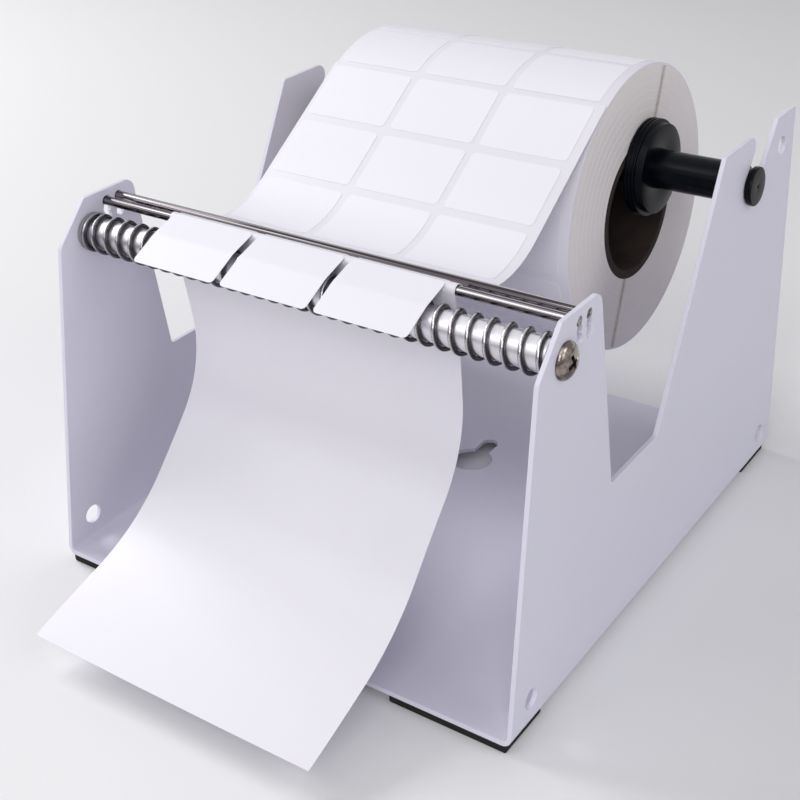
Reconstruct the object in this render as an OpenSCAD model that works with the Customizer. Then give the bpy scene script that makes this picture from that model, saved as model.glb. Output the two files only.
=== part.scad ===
// Manual desk label dispenser: a bent sheet frame with a roll shaft in open notches, two steel
// guide rods, a spring-wound front roller, and a three-column label roll that is threaded through.
// Lengths are millimetres. X is across the machine, Y is towards the rear, Z is up.

/* [Frame] */
// Overall width over the two side plates
frame_w = 175; // [150:1:220]
// Depth of the frame from its front lip to its rear edge
frame_d = 188.7; // [175:0.1:230]
// Thickness of the sheet
sheet_t = 1.5; // [1:0.1:2]
// Outside radius of the two bends along the base
bend_r = 3; // [2.5:0.5:6]
// Height of the front horn
horn_z = 120.8; // [105:0.1:130]
// How far the front edge leans back at its lower kink
front_lean = 15; // [10:0.1:22]
// Distance of the lower kink below the top of the horn
kink_drop = 13.1; // [8:0.1:20]
// How far the slanted front corner of the horn runs back
horn_cut = 12.2; // [8:0.1:14]
// Length of the flat top of the horn
horn_top_l = 21.6; // [20:0.1:30]
// How far the rear edge of the horn leans back at its foot
horn_rear_lean = 9.1; // [4:0.1:14]
// Height of the saddle between the horn and the rear post
gap_z = 55; // [40:0.5:70]
// Height of the rear post
post_z = 132.2; // [125:0.1:145]
// Distance of the post's front top corner ahead of the shaft's axis
post_lead = 22.1; // [18:0.1:30]
// How far the post's front edge leans back above its foot
post_lean = 41.9; // [30:0.1:50]
// Rounding of the tips of the horn and the post
tip_r = 3.8; // [1:0.2:4.6]
// Diameter of the round holes near the corners of the side plates
corner_hole_d = 6.5; // [4:0.1:7]
// Distance of the front corner hole behind the front lip
hole_front_y = 11.5; // [10:0.1:20]
// Distance of the rear corner holes ahead of the rear edge
hole_rear_inset = 10.5; // [8:0.1:12]
// Height of the lower corner holes
hole_low_z = 9.5; // [8:0.1:20]
// Distance of the upper rear hole below the top of the post
hole_top_drop = 11; // [8:0.1:16]

/* [Hanging keyhole] */
// Diameter of the round head of the keyhole
key_head_d = 15; // [10:0.5:20]
// Width of the neck of the keyhole
key_neck_w = 6; // [4:0.1:8]
// Distance from the head's centre to the end of the neck
key_len = 15.7; // [12:0.1:24]
// Distance of the head's centre behind the front lip
key_y = 119.3; // [80:0.1:140]

/* [Feet] */
// Size of a pad across the machine
foot_w = 40; // [20:1:60]
// Size of a pad along the machine
foot_d = 20; // [12:1:40]
// Thickness of a pad
foot_t = 3; // [2:0.5:6]
// Distance of a pad from the outer face of its side plate
foot_inset_x = 1.8; // [1:0.1:8]
// Distance of a pad from the front or rear edge of the base
foot_inset_y = 0.4; // [0:0.1:8]

/* [Spring roller] */
// Distance of the roller's axis behind the front end of the horn's flat top
roller_set = 1.5; // [0:0.1:4]
// Distance of the roller's axis below the top of the horn
roller_drop = 11.8; // [11:0.1:16]
// Outside diameter of the roller's tube
tube_d = 10; // [9.6:0.1:11]
// Wall of the roller's tube
tube_wall = 0.8; // [0.5:0.1:0.9]
// Diameter of the fixed axle inside the roller
axle_d = 7; // [6.4:0.1:7.2]
// Diameter of the wire of the spring
wire_d = 1.4; // [1.1:0.1:1.8]
// Gap between the tube and the spring wound round it
spring_clear = 0.4; // [0.4:0.05:0.8]
// Number of full turns of the spring
spring_turns = 31; // [20:1:36]
// Radius of the bend where each end of the spring turns along the tube
spring_end_r = 2; // [1.5:0.1:3]
// Diameter of the flange of a roller bush
bush_flange_d = 12.8; // [11.6:0.1:16]
// Thickness of the flange of a roller bush
bush_flange_t = 1.2; // [0.8:0.1:2]
// Length of the part of a roller bush inside the tube
bush_len = 8; // [4:0.5:14]
// Diameter of the head of a roller screw
screw_head_d = 11; // [9:0.1:14]
// Height of the head of a roller screw
screw_head_h = 2.8; // [2.2:0.1:4.5]
// Thread diameter of a roller screw
screw_d = 5; // [4:0.1:5]
// Length of a roller screw under its head
screw_len = 14; // [8:0.5:20]

/* [Guide rods] */
// Diameter of the two guide rods
rod_d = 3; // [2.5:0.1:4]
// Gap between the spring and the front rod, which the liner passes
rod_pass = 2.75; // [1.5:0.05:3.5]
// Direction of the front rod from the roller's axis, above the level
rod_turn = 45; // [35:1:50]
// Distance from the front rod to the rear rod
rod_gap = 5.5; // [5:0.1:8]
// Distance between the three overlapping holes of a rod slot
rod_step = 2.6; // [2:0.1:3]

/* [Roll shaft] */
// Distance of the shaft's axis ahead of the rear edge
shaft_inset = 36.4; // [34:0.1:50]
// Distance of the shaft's axis below the top of the post
shaft_drop = 16.5; // [13:0.1:18]
// Diameter of the shaft between the side plates
shaft_d = 13.2; // [12:0.1:16]
// Bore of the shaft
shaft_bore = 8; // [6:0.5:10]
// Width of the open notch that holds the shaft's neck
notch_w = 11.3; // [9:0.1:12]
// Lean of the notch above the level
notch_lean = 50.3; // [45:0.1:60]
// Diameter of the end cap outside a side plate
cap_d = 13; // [12.6:0.1:20]
// Thickness of the end cap
cap_t = 2; // [1.5:0.1:5]
// Length of the plug inside the shaft
plug_len = 12; // [6:1:20]
// Diameter of the flange of a side stop
hub_flange_d = 33; // [31:0.5:40]
// Thickness of the flange of a side stop
hub_flange_t = 3.5; // [2:0.1:6]
// Diameter of the raised boss of a side stop
hub_boss_d = 30.5; // [20:0.5:30.5]
// Height of the raised boss of a side stop
hub_boss_t = 2.5; // [1:0.1:6]

/* [Label roll] */
// Inside diameter of the paperboard core
core_d = 43; // [38:0.5:60]
// Wall of the paperboard core
core_wall = 3; // [1.5:0.1:5]
// Outside diameter of the wound roll
roll_d = 98.6; // [75:0.1:110]
// Width of the roll and of its liner
roll_w = 106; // [104:0.5:120]
// Shift of the roll from the middle of the machine
roll_x = -3.2; // [-6:0.1:6]
// Forward swing of the roll about the shaft that the pull on the web gives
roll_swing = 15; // [0:1:30]
// Width of one label
label_w = 32; // [24:0.5:32.5]
// Length of one label
label_l = 22; // [16:0.5:24]
// Gap between two columns of labels
column_gap = 2.6; // [1.5:0.1:3.5]
// Gap between two rows of labels
row_gap = 3; // [2:0.1:4]
// Number of label columns
columns = 3; // [1:1:3]
// Shift of the label columns from the middle of the liner
label_x = -1; // [-1:0.1:1]
// Thickness of the liner
liner_t = 0.2; // [0.15:0.05:0.3]
// Thickness of a label
label_t = 0.2; // [0.15:0.05:0.3]

/* [Threaded web] */
// Slope of the web where it leaves the roll
feed_slope = 33.5; // [30:0.5:38]
// Turn of the web round the underside of the rear rod, which sets how deep it sags before it
sag_turn = 15; // [2:0.5:30]
// Direction in which the peeled labels leave the spring, counted from the rear
peel_turn = 207; // [203:1:240]
// Distance of the hanging liner's upper knee behind the roller's axis
knee_high_back = 11.8; // [7:0.1:14]
// Distance of the hanging liner's upper knee below the roller's axis
knee_high_drop = 45; // [38:0.1:50]
// Radius of the upper knee
knee_high_r = 40; // [20:1:50]
// Distance of the hanging liner's lower knee behind the front lip
knee_low_y = 2; // [-4:0.1:8]
// Height of the hanging liner's lower knee
knee_low_z = 21.2; // [18:0.1:26]
// Radius of the lower knee
knee_low_r = 70; // [30:1:75]
// Distance ahead of the front lip of the cut end of the liner
tip_ahead = 41.5; // [30:0.5:60]
// Height of the cut end of the liner
tip_z = 6.2; // [3:0.1:12]

/* [Hidden] */
$fn = 64;

// Clearances: a turning or sliding fit, a seated fit, and the air round paper and wheels
run_gap = 0.05;
seat_gap = 0.02;
air_gap = 0.3;
// Layer of glue between the liner and a label on it
glue_t = 0.005;
// Reach of a cutter past a face, and of one joined solid into another
over = 1;
// Shortest length along the web that counts
tiny = 0.01;

// Frame
inner_w = frame_w - 2 * sheet_t;
inner_x = inner_w / 2;
kink_z = horn_z - kink_drop;
horn_front_y = front_lean + horn_cut;
horn_rear_y = horn_front_y + horn_top_l;
gap_front_y = horn_rear_y + horn_rear_lean;
shaft_y = frame_d - shaft_inset;
shaft_z = post_z - shaft_drop;
post_front_y = shaft_y - post_lead;
gap_rear_y = post_front_y - post_lean;
corner_r = 1.2;
post_top_r = 1.6;

// Roller
roller_y = horn_front_y + roller_set;
roller_z = horn_z - roller_drop;
tube_bore = tube_d - 2 * tube_wall;
roller_end_gap = 0.4;
tube_len = inner_w - 2 * (roller_end_gap + bush_flange_t);
tap_extra = 2;
screw_hole_clear = 0.3;
screw_hole_d = screw_d + screw_hole_clear;
spring_d = tube_d + 2 * (spring_clear + wire_d);
spring_r = spring_d / 2;
coil_r = spring_r - wire_d / 2;
recess_w = 1.3;
recess_l = 5.6;
recess_depth = 1.6;
recess_turn = 20;

// Guide rods, which sit in the top hole of three
rod_reach = spring_r + rod_pass + rod_d / 2;
rod_front_y = roller_y + rod_reach * cos(rod_turn);
rod_z = roller_z + rod_reach * sin(rod_turn);
rod_rear_y = rod_front_y + rod_gap;
rod_hole_clear = 0.3;
rod_hole_d = rod_d + rod_hole_clear;
rod_holes = 3;

// Shaft
neck_d = notch_w - 2 * run_gap;
shaft_end_gap = 0.5;
shaft_len = inner_w - 2 * shaft_end_gap;
cap_gap = 0.4;
neck_len = shaft_end_gap + sheet_t + cap_gap;
cap_edge = 0.6;
dimple_d = 1.2;
dimple_depth = 0.6;
hub_bore = shaft_d + 2 * run_gap;
hub_groove = 0.5;
hub_groove_x = 0.4 * hub_flange_t;

// Roll
core_r = core_d / 2;
core_out_r = core_r + core_wall;
roll_r = roll_d / 2;
hang = core_r - shaft_d / 2 - air_gap;
roll_y = shaft_y - hang * sin(roll_swing);
roll_z = shaft_z - hang * cos(roll_swing);
roll_left = roll_x - roll_w / 2;
roll_right = roll_x + roll_w / 2;
row_pitch = label_l + row_gap;
column_pitch = label_w + column_gap;
web_rows = 4;
// Distance of the last row still stuck down behind the crest of the front rod
peel_edge = 1;
// Segments of the bends along the web
sag_steps = 12;
rear_steps = 3;
rod_steps = 14;
roller_steps = 4;
knee_steps = 6;
peel_steps = 6;
corner_steps = 6;

// Points in the side view are [y, z]
roll_c = [roll_y, roll_z];
rod_f = [rod_front_y, rod_z];
rod_r = [rod_rear_y, rod_z];
roller_c = [roller_y, roller_z];
knee_high = [roller_y + knee_high_back, roller_z - knee_high_drop];
knee_low = [knee_low_y, knee_low_z];
liner_end = [-tip_ahead, tip_z];

function unit(v) = v / norm(v);
function heading(v) = (atan2(v.y, v.x) + 360) % 360;
function along(a) = [cos(a), sin(a)];
// The normal on the left of the heading a
function left_of(a) = [-sin(a), cos(a)];

// Heading of the line that passes circle p at the side sp and circle q at the side sq,
// where a side is 1 for the circle's left of the travel and -1 for its right
function tangent_heading(p, rp, sp, q, rq, sq) =
    heading(q - p) - asin((sp * rp - sq * rq) / norm(q - p));

// Stations of an arc: each is a point and its heading
function arc(c, r, side, a0, a1, n) =
    [for (i = [0:n]) let (a = a0 + (a1 - a0) * i / n) [c + side * r * left_of(a), a]];

// Path of the liner's middle surface, from where it leaves the roll to its cut end
feed_a = 180 + feed_slope;
leave_r = roll_r + label_t + air_gap + liner_t / 2;
leave_p = roll_c - leave_r * left_of(feed_a);
rear_r = rod_d / 2 + air_gap + label_t + liner_t / 2;
front_r = rod_d / 2 + air_gap + liner_t / 2;
back_r = spring_r + air_gap + liner_t / 2;
a_between = tangent_heading(rod_r, rear_r, 1, rod_f, front_r, -1);
a_rear = a_between + sag_turn;
// The sag is the one arc that meets both the web's line off the roll and the rear rod's turn
sag_cos = cos(feed_a - a_rear);
sag_rise = (leave_p - rod_r) * left_of(feed_a);
sag_r = (sag_rise - rear_r * sag_cos) / (1 - sag_cos);
sag_c = rod_r - (sag_r - rear_r) * left_of(a_rear);
a_behind = tangent_heading(rod_f, front_r, -1, roller_c, back_r, 1);
a_fall = tangent_heading(roller_c, back_r, 1, knee_high, 0, 1);
a_slope = heading(knee_low - knee_high);
a_tip = heading(liner_end - knee_low);
knee_high_t = knee_high_r * tan((a_fall - a_slope) / 2);
knee_low_t = knee_low_r * tan((a_slope - a_tip) / 2);
knee_high_c = knee_high - knee_high_t * along(a_fall) - knee_high_r * left_of(a_fall);
knee_low_c = knee_low - knee_low_t * along(a_slope) - knee_low_r * left_of(a_slope);

liner_path = concat(
    [[leave_p, feed_a]],
    arc(sag_c, sag_r, 1, feed_a, a_rear, sag_steps),
    arc(rod_r, rear_r, 1, a_rear, a_between, rear_steps),
    arc(rod_f, front_r, -1, a_between, a_behind, rod_steps),
    arc(roller_c, back_r, 1, a_behind, a_fall, roller_steps),
    arc(knee_high_c, knee_high_r, 1, a_fall, a_slope, knee_steps),
    arc(knee_low_c, knee_low_r, 1, a_slope, a_tip, knee_steps),
    [[liner_end, a_tip]]
);

// Distance of each station from the start of a path
function run_length(path) =
    [for (i = 0, s = 0; i < len(path);
        s = s + (i + 1 < len(path) ? norm(path[i + 1][0] - path[i][0]) : 0), i = i + 1) s];
liner_run = run_length(liner_path);
// The liner's run from the roll to the crest of the front rod, where a row of labels comes off
crest_run = liner_run[sag_steps + rear_steps + 3] + front_r * (180 - a_between) * PI / 180;
web_rows_end = crest_run - peel_edge;
// Length of the last web row that still lies on the roll
tail_l = max(0, web_rows * row_pitch - row_gap - web_rows_end);

// Station of a path at the distance s
function station(path, run, s) =
    let (i = max([for (j = [0:len(path) - 2]) if (run[j] <= s) j]))
    let (f = (s - run[i]) / max(run[i + 1] - run[i], tiny))
    [path[i][0] + f * (path[i + 1][0] - path[i][0]), path[i][1] + f * (path[i + 1][1] - path[i][1])];

// Stations between two distances
function stretch(path, run, s0, s1) = concat(
    [station(path, run, s0)],
    [for (i = [0:len(path) - 1]) if (run[i] > s0 + tiny && run[i] < s1 - tiny) path[i]],
    [station(path, run, s1)]
);

// Outline between two offsets to the right of a path
function band(path, o0, o1) = concat(
    [for (p = path) p[0] - o0 * left_of(p[1])],
    [for (i = [len(path) - 1:-1:0]) path[i][0] - o1 * left_of(path[i][1])]
);

// Peeled labels: off the front rod, over the spring and straight on
peel_rod_r = rod_d / 2 + air_gap + liner_t + run_gap + label_t / 2;
peel_top_r = spring_r + air_gap + label_t / 2;
a_peel = tangent_heading(rod_f, peel_rod_r, -1, roller_c, peel_top_r, -1);
peel_bend = concat(
    [[rod_f - peel_rod_r * left_of(a_peel), a_peel]],
    arc(roller_c, peel_top_r, -1, a_peel, peel_turn, peel_steps)
);
peel_used = run_length(peel_bend)[len(peel_bend) - 1];
peel_end = roller_c - peel_top_r * left_of(peel_turn) + (label_l - peel_used) * along(peel_turn);
peel_path = concat(peel_bend, [[peel_end, peel_turn]]);

// The model stands on its feet, with the origin under the middle of its box
box_front = -tip_ahead - liner_t / 2 * sin(a_tip - 180);
box_rear = roll_y + roll_r + label_t;
origin_y = (box_front + box_rear) / 2;

// Rounds the corner at b of the outline that runs a, b, c
function corner(a, b, c, r) =
    let (u = unit(a - b), w = unit(c - b), half = acos(u * w) / 2)
    let (m = b + unit(u + w) * r / sin(half), s = b + u * r / tan(half), e = b + w * r / tan(half))
    let (a0 = atan2(s.y - m.y, s.x - m.x), a1 = atan2(e.y - m.y, e.x - m.x))
    let (turn = ((a1 - a0 + 540) % 360) - 180)
    [for (i = [0:corner_steps]) m + r * along(a0 + turn * i / corner_steps)];

// Outline with each corner [point, radius] rounded
function rounded(pts) =
    let (n = len(pts))
    [for (i = [0:n - 1])
        each pts[i][1] > 0
            ? corner(pts[(i + n - 1) % n][0], pts[i][0], pts[(i + 1) % n][0], pts[i][1])
            : [pts[i][0]]];

// Runs a side view outline along X from x0 for a length
module across(x0, length) {
    translate([x0, 0, 0])
        rotate([90, 0, 90])
            linear_extrude(length)
                children();
}

// Round bar along X, centred on x
module bar(y, z, d, length, x = 0) {
    translate([x - length / 2, y, z])
        rotate([0, 90, 0])
            cylinder(d = d, h = length);
}

// Places the machine over its origin
module placed() {
    translate([0, -origin_y, foot_t])
        children();
}

// Side view of a side plate, with the walls of the shaft notch
module plate_outline() {
    n_along = along(notch_lean);
    n_side = left_of(notch_lean) * notch_w / 2;
    seat = [shaft_y, shaft_z];
    rise = (post_z - shaft_z) / sin(notch_lean);
    mouth = seat + rise * n_along;
    half_mouth = notch_w / 2 / sin(notch_lean);
    polygon(rounded([
        [[0, 0], 0],
        [[frame_d, 0], 0],
        [[frame_d, post_z], corner_r],
        [[mouth.x + half_mouth, post_z], post_top_r],
        [seat - n_side, 0],
        [seat + n_side, 0],
        [[mouth.x - half_mouth, post_z], tip_r],
        [[post_front_y, post_z], corner_r],
        [[gap_rear_y, gap_z], corner_r],
        [[gap_front_y, gap_z], corner_r],
        [[horn_rear_y, horn_z], tip_r],
        [[horn_front_y, horn_z], corner_r],
        [[front_lean, kink_z], tip_r],
    ]));
}

// Front view of the bent sheet
module bent_section() {
    top = post_z + over;
    difference() {
        polygon(rounded([
            [[-frame_w / 2, 0], bend_r], [[frame_w / 2, 0], bend_r],
            [[frame_w / 2, top], 0], [[-frame_w / 2, top], 0],
        ]));
        polygon(rounded([
            [[-inner_x, sheet_t], bend_r - sheet_t], [[inner_x, sheet_t], bend_r - sheet_t],
            [[inner_x, top + over], 0], [[-inner_x, top + over], 0],
        ]));
    }
}

// Three overlapping holes, in which a rod can be set high or low
module rod_slot(y) {
    for (i = [0:rod_holes - 1])
        bar(y, rod_z - i * rod_step, rod_hole_d, frame_w + 2 * over);
}

module keyhole() {
    translate([0, key_y, -over]) {
        cylinder(d = key_head_d, h = sheet_t + 2 * over);
        translate([-key_neck_w / 2, 0, 0])
            cube([key_neck_w, key_len - key_neck_w / 2, sheet_t + 2 * over]);
        translate([0, key_len - key_neck_w / 2, 0])
            cylinder(d = key_neck_w, h = sheet_t + 2 * over);
    }
}

module side_frame() {
    color("whitesmoke")
        placed()
            difference() {
                intersection() {
                    translate([0, frame_d, 0])
                        rotate([90, 0, 0])
                            linear_extrude(frame_d)
                                bent_section();
                    across(-frame_w / 2 - over, frame_w + 2 * over)
                        plate_outline();
                }
                bar(shaft_y, shaft_z, notch_w, frame_w + 2 * over);
                bar(roller_y, roller_z, screw_hole_d, frame_w + 2 * over);
                rod_slot(rod_front_y);
                rod_slot(rod_rear_y);
                bar(hole_front_y, hole_low_z, corner_hole_d, frame_w + 2 * over);
                bar(frame_d - hole_rear_inset, hole_low_z, corner_hole_d, frame_w + 2 * over);
                bar(frame_d - hole_rear_inset, post_z - hole_top_drop, corner_hole_d, frame_w + 2 * over);
                keyhole();
            }
}

// Rubber pad under a corner: sx is -1 left, 1 right, and rear is 0 or 1
module foot(sx, rear) {
    x = sx * (frame_w / 2 - foot_inset_x - foot_w / 2);
    y = rear == 1 ? frame_d - foot_inset_y - foot_d / 2 : foot_inset_y + foot_d / 2;
    color("dimgray")
        placed()
            translate([x - foot_w / 2, y - foot_d / 2, -foot_t])
                cube([foot_w, foot_d, foot_t]);
}

module roller_axle() {
    tap_len = screw_len - sheet_t + tap_extra;
    color("silver")
        placed()
            difference() {
                bar(roller_y, roller_z, axle_d, inner_w);
                bar(roller_y, roller_z, screw_d, tap_len, -inner_x + tap_len / 2);
                bar(roller_y, roller_z, screw_d, tap_len, inner_x - tap_len / 2);
            }
}

// Domed cross-recess screw through a side plate into the axle
module roller_screw(sx) {
    dome_r = (pow(screw_head_d / 2, 2) + pow(screw_head_h, 2)) / (2 * screw_head_h);
    color("lightgray")
        placed()
            translate([sx * frame_w / 2, roller_y, roller_z])
                rotate([0, sx * 90, 0])
                    difference() {
                        union() {
                            intersection() {
                                translate([0, 0, screw_head_h - dome_r])
                                    sphere(r = dome_r);
                                cylinder(d = screw_head_d, h = screw_head_h + over);
                            }
                            translate([0, 0, -screw_len])
                                cylinder(d = screw_d - 2 * seat_gap, h = screw_len + over);
                        }
                        for (a = [0, 90])
                            rotate([0, 0, a + recess_turn])
                                translate([-recess_l / 2, -recess_w / 2, screw_head_h - recess_depth])
                                    cube([recess_l, recess_w, recess_depth + over]);
                    }
}

module roller_tube() {
    color("gainsboro")
        placed()
            difference() {
                bar(roller_y, roller_z, tube_d, tube_len);
                bar(roller_y, roller_z, tube_bore, tube_len + 2 * over);
            }
}

// Flanged bush that carries one end of the tube on the axle
module roller_bush(sx) {
    color("silver")
        placed()
            difference() {
                union() {
                    bar(roller_y, roller_z, bush_flange_d, bush_flange_t,
                        sx * (tube_len + bush_flange_t) / 2);
                    bar(roller_y, roller_z, tube_bore - 2 * seat_gap, bush_len,
                        sx * (tube_len - bush_len) / 2);
                }
                bar(roller_y, roller_z, axle_d + 2 * run_gap, frame_w);
            }
}

// Middle line of the spring wire. On the unrolled tube each station is [x, turn along the coil],
// and the wire runs from one flange to the other with a quarter bend at each end.
spring_rings = 8;
spring_sides = 6;
lead_steps = 3;
spring_x = tube_len / 2;
turn_per_mm = 180 / (PI * coil_r);
lead_x = wire_d + spring_end_r;
helix_x = 2 * (spring_x - lead_x);
helix_turn = 360 * spring_turns;
// Turn of the spring's first end about the roller's axis
spring_start = 96;

function lead_in(t) = [
    -spring_x + wire_d + spring_end_r * sin(t),
    spring_end_r * (1 - cos(t)) * turn_per_mm
];
lead_turn = spring_end_r * turn_per_mm;
spring_line = concat(
    [[-spring_x, 0], [-spring_x + wire_d, 0]],
    [for (i = [1:lead_steps]) lead_in(90 * i / lead_steps)],
    [for (i = [1:spring_turns * spring_rings - 1])
        [-spring_x + lead_x + helix_x * i / (spring_turns * spring_rings),
            lead_turn + i * 360 / spring_rings]],
    [for (i = [lead_steps:-1:1])
        [-lead_in(90 * i / lead_steps).x, 2 * lead_turn + helix_turn - lead_in(90 * i / lead_steps).y]],
    [[spring_x - wire_d, 2 * lead_turn + helix_turn], [spring_x, 2 * lead_turn + helix_turn]]
);

function coil_point(s) =
    let (a = spring_start + s.y)
    [s.x, roller_y + coil_r * cos(a), roller_z + coil_r * sin(a)];
spring_points = [for (s = spring_line) coil_point(s)];
spring_count = len(spring_points);

// Ring of wire section points round station i, square to the wire
function wire_ring(i) =
    let (p = spring_points[i])
    let (t = unit(spring_points[min(i + 1, spring_count - 1)] - spring_points[max(i - 1, 0)]))
    let (out = unit([0, p.y - roller_y, p.z - roller_z]))
    let (n = unit(out - (out * t) * t), b = cross(t, n))
    [for (k = [0:spring_sides - 1])
        let (a = 360 * (k + 0.5) / spring_sides)
        p + wire_d / 2 * (cos(a) * n + sin(a) * b)];

// Least gap between a turn and the next, over all stations
spring_gap = min([for (i = [0:spring_count - 1 - spring_rings])
    min([for (j = [i + spring_rings - 1:min(i + spring_rings + 1, spring_count - 1)])
        norm(spring_points[i] - spring_points[j])])]) - wire_d;
echo(spring_gap_mm = spring_gap);

module roller_spring() {
    points = [for (i = [0:spring_count - 1]) each wire_ring(i)];
    last = (spring_count - 1) * spring_sides;
    sides = [for (i = [0:spring_count - 2])
        for (k = [0:spring_sides - 1])
            let (a = i * spring_sides + k)
            let (b = i * spring_sides + (k + 1) % spring_sides)
            each [[a, b, b + spring_sides], [a, b + spring_sides, a + spring_sides]]];
    caps = [for (k = [1:spring_sides - 2])
        each [[0, k + 1, k], [last, last + k, last + k + 1]]];
    color("silver")
        placed()
            polyhedron(points, concat(sides, caps), convexity = 10);
}

module guide_rod(y) {
    color("silver")
        placed()
            bar(y, rod_z, rod_d, frame_w - 2 * run_gap);
}

module shaft_tube() {
    color("black")
        placed()
            difference() {
                bar(shaft_y, shaft_z, shaft_d, shaft_len);
                bar(shaft_y, shaft_z, shaft_bore, shaft_len + 2 * over);
            }
}

// Plug, neck and cap at one end of the shaft
module shaft_end(sx) {
    color("black")
        placed()
            translate([sx * shaft_len / 2, shaft_y, shaft_z])
                rotate([0, sx * 90, 0])
                    difference() {
                        union() {
                            translate([0, 0, -plug_len])
                                cylinder(d = shaft_bore - 2 * seat_gap, h = plug_len + over);
                            cylinder(d = neck_d, h = neck_len + over);
                            translate([0, 0, neck_len])
                                cylinder(d = cap_d, h = cap_t - cap_edge);
                            translate([0, 0, neck_len + cap_t - cap_edge])
                                cylinder(d1 = cap_d, d2 = cap_d - 2 * cap_edge, h = cap_edge);
                        }
                        translate([0, 0, neck_len + cap_t - dimple_depth])
                            cylinder(d = dimple_d, h = dimple_depth + over);
                    }
}

// Side stop on the shaft: a flange against the roll and a raised boss
module hub(sx) {
    x0 = sx > 0 ? roll_right + air_gap : roll_left - air_gap;
    color("black")
        placed()
            translate([x0, shaft_y, shaft_z])
                rotate([0, sx * 90, 0])
                    difference() {
                        union() {
                            cylinder(d = hub_flange_d, h = hub_flange_t);
                            translate([0, 0, hub_flange_t])
                                cylinder(d = hub_boss_d, h = hub_boss_t);
                        }
                        translate([0, 0, -over])
                            cylinder(d = hub_bore, h = hub_flange_t + hub_boss_t + 2 * over);
                        translate([0, 0, hub_groove_x])
                            difference() {
                                cylinder(d = hub_flange_d + 2 * over, h = hub_groove);
                                translate([0, 0, -over])
                                    cylinder(d = hub_flange_d - 2 * hub_groove, h = hub_groove + 2 * over);
                            }
                    }
}

module roll_core() {
    color("saddlebrown")
        placed()
            difference() {
                bar(roll_y, roll_z, 2 * core_out_r, roll_w, roll_x);
                bar(roll_y, roll_z, core_d, roll_w + 2 * over, roll_x);
            }
}

module label_roll() {
    color("lightgray")
        placed()
            difference() {
                bar(roll_y, roll_z, roll_d, roll_w, roll_x);
                bar(roll_y, roll_z, 2 * (core_out_r + seat_gap), roll_w + 2 * over, roll_x);
            }
}

function column_x(i) = roll_x + label_x + (i - (columns - 1) / 2) * column_pitch - label_w / 2;

// Turn round the roll that a length along the labels takes
function label_turn(length) = length / (roll_r + label_t) * 180 / PI;

// One label on the roll, or what is left of it, starting at a length behind the leaving point
module roll_label(c, start, length) {
    translate([column_x(c), roll_y, roll_z])
        rotate([0, 90, 0])
            rotate([0, 0, 90 - feed_slope + label_turn(start)])
                rotate_extrude(angle = label_turn(length))
                    translate([roll_r, 0])
                        square([label_t, label_w]);
}

// Labels on the outer turn of the roll, row by row
module roll_labels() {
    first = tail_l + row_gap;
    rows = floor((2 * PI * (roll_r + label_t) - first) / row_pitch);
    color("white")
        placed()
            for (c = [0:columns - 1]) {
                if (tail_l > row_gap / 2)
                    roll_label(c, run_gap, tail_l - run_gap);
                for (r = [0:rows - 1])
                    roll_label(c, first + r * row_pitch, label_l);
            }
}

module liner_strip() {
    color("aliceblue")
        placed()
            across(roll_left, roll_w)
                polygon(band(liner_path, -liner_t / 2, liner_t / 2));
}

// Stations of one row of the web, counted back from the front rod
function web_row(r) =
    let (s1 = web_rows_end - r * row_pitch)
    stretch(liner_path, liner_run, max(run_gap, s1 - label_l), s1);

// Labels on the web between the roll and the rods
module web_labels() {
    color("white")
        placed()
            for (c = [0:columns - 1], r = [0:web_rows - 1])
                across(column_x(c), label_w)
                    polygon(band(
                        web_row(r),
                        liner_t / 2 + glue_t, liner_t / 2 + glue_t + label_t));
}

// The front row, peeled off the liner and lying over the spring
module peeled_labels() {
    color("white")
        placed()
            for (c = [0:columns - 1])
                across(column_x(c), label_w)
                    polygon(band(peel_path, -label_t / 2, label_t / 2));
}

side_frame();
foot(-1, 0);  // foot_front_left
foot(1, 0);  // foot_front_right
foot(-1, 1);  // foot_rear_left
foot(1, 1);  // foot_rear_right
roller_axle();
roller_screw(-1);  // roller_screw_left
roller_screw(1);  // roller_screw_right
roller_tube();
roller_bush(-1);  // roller_bush_left
roller_bush(1);  // roller_bush_right
roller_spring();
guide_rod(rod_front_y);  // guide_rod_front
guide_rod(rod_rear_y);  // guide_rod_rear
shaft_tube();
shaft_end(-1);  // shaft_end_left
shaft_end(1);  // shaft_end_right
hub(-1);  // hub_left
hub(1);  // hub_right
roll_core();
label_roll();
roll_labels();
liner_strip();
web_labels();
peeled_labels();
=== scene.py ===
"""Looks of a manual desk label dispenser: a bent white frame, a roll on a black shaft, two bright
guide rods, a spring-wound roller, and a threaded web of three columns of white labels."""
import logging
import math
from contextlib import contextmanager
from dataclasses import dataclass
from enum import Enum
from typing import Callable, Iterator, Sequence

import bmesh
import bpy
from mathutils import Matrix, Vector


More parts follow.
